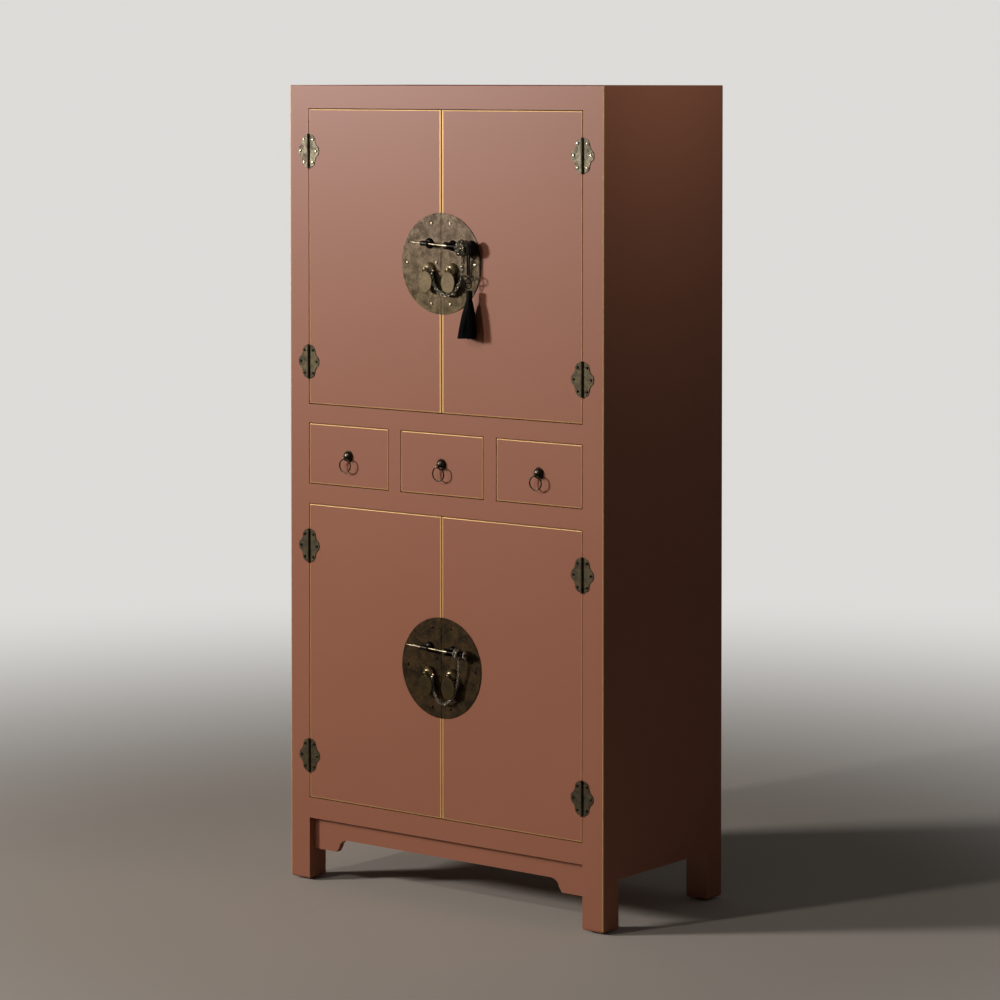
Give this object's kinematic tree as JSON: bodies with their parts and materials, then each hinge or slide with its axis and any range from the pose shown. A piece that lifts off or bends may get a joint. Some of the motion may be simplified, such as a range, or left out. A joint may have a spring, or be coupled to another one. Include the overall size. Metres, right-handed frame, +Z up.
{
  "type": "tall lacquered cabinet with doors and drawers",
  "caption": "Tall upright lacquered cabinet with paired hinged doors above and below a row of small drawers, round brass lock plates with sliding pins, and a tassel.",
  "frame": {"origin": "on the floor, under the middle of the box round the closed cabinet, its pulls and its tassel", "axes": "+X to the right seen from the front, +Y to the back, +Z up"},
  "size_m": [0.88, 0.477, 1.8],
  "materials": {
    "front_lacquer": "satin rose-brown lacquer with gilded edges",
    "side_lacquer": "satin brown lacquer",
    "bare_wood": "oiled wood",
    "aged_plate_brass": "dull aged brass",
    "dark_hinge_brass": "blackened brass",
    "stud_brass": "worn brass",
    "turned_brass": "worn brass",
    "pull_brass": "smooth aged brass",
    "pin_brass": "bright worn brass",
    "chain_brass": "dark aged brass",
    "black_silk": "silk",
    "glide_plastic": "matte"
  },
  "bodies": {
    "case": {"front_posts": "front_lacquer", "back_posts": "front_lacquer", "glides": "glide_plastic", "front_rails": "front_lacquer", "drawer_dividers": "front_lacquer", "apron": "front_lacquer", "left_side_panel": "side_lacquer", "right_side_panel": "side_lacquer", "top_board": "side_lacquer", "deck_boards": "bare_wood", "shelves": "bare_wood", "shelf_cleats": "bare_wood", "back_rails": "side_lacquer", "back_panels": "bare_wood", "drawer_guides": "bare_wood", "frame_hinge_leaves": "dark_hinge_brass", "frame_studs": "stud_brass", "hinge_pins": "dark_hinge_brass"},
    "door_upper_left": {"upper_left_door": "front_lacquer", "upper_left_lock_plate": "aged_plate_brass", "upper_left_lock_posts": "turned_brass", "upper_left_hinge_leaves": "dark_hinge_brass", "upper_left_studs": "stud_brass", "upper_chain": "chain_brass"},
    "door_upper_right": {"upper_right_door": "front_lacquer", "upper_right_lock_plate": "aged_plate_brass", "upper_right_lock_posts": "turned_brass", "upper_right_hinge_leaves": "dark_hinge_brass", "upper_right_studs": "stud_brass"},
    "drop_upper_left": {"upper_left_drop": "pull_brass"},
    "drop_upper_right": {"upper_right_drop": "pull_brass"},
    "pin_upper": {"upper_lock_pin": "pin_brass"},
    "door_lower_left": {"lower_left_door": "front_lacquer", "lower_left_lock_plate": "aged_plate_brass", "lower_left_lock_posts": "turned_brass", "lower_left_hinge_leaves": "dark_hinge_brass", "lower_left_studs": "stud_brass", "lower_chain": "chain_brass"},
    "door_lower_right": {"lower_right_door": "front_lacquer", "lower_right_lock_plate": "aged_plate_brass", "lower_right_lock_posts": "turned_brass", "lower_right_hinge_leaves": "dark_hinge_brass", "lower_right_studs": "stud_brass"},
    "drop_lower_left": {"lower_left_drop": "pull_brass"},
    "drop_lower_right": {"lower_right_drop": "pull_brass"},
    "pin_lower": {"lower_lock_pin": "pin_brass"},
    "tassel_upper": {"tassel_cord": "black_silk", "tassel": "black_silk"},
    "drawer_left": {"left_drawer_front": "front_lacquer", "left_drawer_box": "bare_wood", "left_pull_post": "turned_brass"},
    "ring_left": {"left_ring": "pull_brass"},
    "drawer_middle": {"middle_drawer_front": "front_lacquer", "middle_drawer_box": "bare_wood", "middle_pull_post": "turned_brass"},
    "ring_middle": {"middle_ring": "pull_brass"},
    "drawer_right": {"right_drawer_front": "front_lacquer", "right_drawer_box": "bare_wood", "right_pull_post": "turned_brass"},
    "ring_right": {"right_ring": "pull_brass"}
  },
  "joints": [
    {"name": "upper_left_door_swing", "type": "hinge", "parent": "case", "child": "door_upper_left", "pos_m": [-0.38425, -0.2045, 0], "axis": [0, 0, -1], "range_deg": [0, 165]},
    {"name": "upper_right_door_swing", "type": "hinge", "parent": "case", "child": "door_upper_right", "pos_m": [0.38425, -0.2045, 0], "axis": [0, 0, 1], "range_deg": [0, 165]},
    {"name": "upper_left_drop_swing", "type": "hinge", "parent": "door_upper_left", "child": "drop_upper_left", "pos_m": [-0.032, -0.219, 1.4], "axis": [-1, 0, 0], "range_deg": [0, 80]},
    {"name": "upper_right_drop_swing", "type": "hinge", "parent": "door_upper_right", "child": "drop_upper_right", "pos_m": [0.032, -0.219, 1.4], "axis": [-1, 0, 0], "range_deg": [0, 80]},
    {"name": "upper_pin_slide", "type": "slide", "parent": "door_upper_left", "child": "pin_upper", "axis": [0.9986, 0, -0.0523], "range_m": [0, 0.038], "deforming": ["upper_chain"]},
    {"name": "lower_left_door_swing", "type": "hinge", "parent": "case", "child": "door_lower_left", "pos_m": [-0.38425, -0.2045, 0], "axis": [0, 0, -1], "range_deg": [0, 165]},
    {"name": "lower_right_door_swing", "type": "hinge", "parent": "case", "child": "door_lower_right", "pos_m": [0.38425, -0.2045, 0], "axis": [0, 0, 1], "range_deg": [0, 165]},
    {"name": "lower_left_drop_swing", "type": "hinge", "parent": "door_lower_left", "child": "drop_lower_left", "pos_m": [-0.032, -0.219, 0.513], "axis": [-1, 0, 0], "range_deg": [0, 80]},
    {"name": "lower_right_drop_swing", "type": "hinge", "parent": "door_lower_right", "child": "drop_lower_right", "pos_m": [0.032, -0.219, 0.513], "axis": [-1, 0, 0], "range_deg": [0, 80]},
    {"name": "lower_pin_slide", "type": "slide", "parent": "door_lower_left", "child": "pin_lower", "axis": [0.9986, 0, -0.0523], "range_m": [0, 0.038], "deforming": ["lower_chain"]},
    {"name": "tassel_swing", "type": "hinge", "parent": "pin_upper", "child": "tassel_upper", "pos_m": [0, -0.2195, 1.453], "axis": [-0.9986, 0, 0.0523], "range_deg": [0, 75]},
    {"name": "left_drawer_slide", "type": "slide", "parent": "case", "child": "drawer_left", "axis": [0, -1, 0], "range_m": [0, 0.28]},
    {"name": "left_ring_swing", "type": "hinge", "parent": "drawer_left", "child": "ring_left", "pos_m": [-0.26767, -0.2136, 0.9667], "axis": [-1, 0, 0], "range_deg": [-17, 90]},
    {"name": "middle_drawer_slide", "type": "slide", "parent": "case", "child": "drawer_middle", "axis": [0, -1, 0], "range_m": [0, 0.28]},
    {"name": "middle_ring_swing", "type": "hinge", "parent": "drawer_middle", "child": "ring_middle", "pos_m": [0, -0.2136, 0.9667], "axis": [-1, 0, 0], "range_deg": [-17, 90]},
    {"name": "right_drawer_slide", "type": "slide", "parent": "case", "child": "drawer_right", "axis": [0, -1, 0], "range_m": [0, 0.28]},
    {"name": "right_ring_swing", "type": "hinge", "parent": "drawer_right", "child": "ring_right", "pos_m": [0.26767, -0.2136, 0.9667], "axis": [-1, 0, 0], "range_deg": [-17, 90]}
  ],
  "couplings": [
    {"joint": "upper_right_door_swing", "follows": "upper_left_door_swing", "ratio": 1},
    {"joint": "lower_right_door_swing", "follows": "lower_left_door_swing", "ratio": 1}
  ]
}
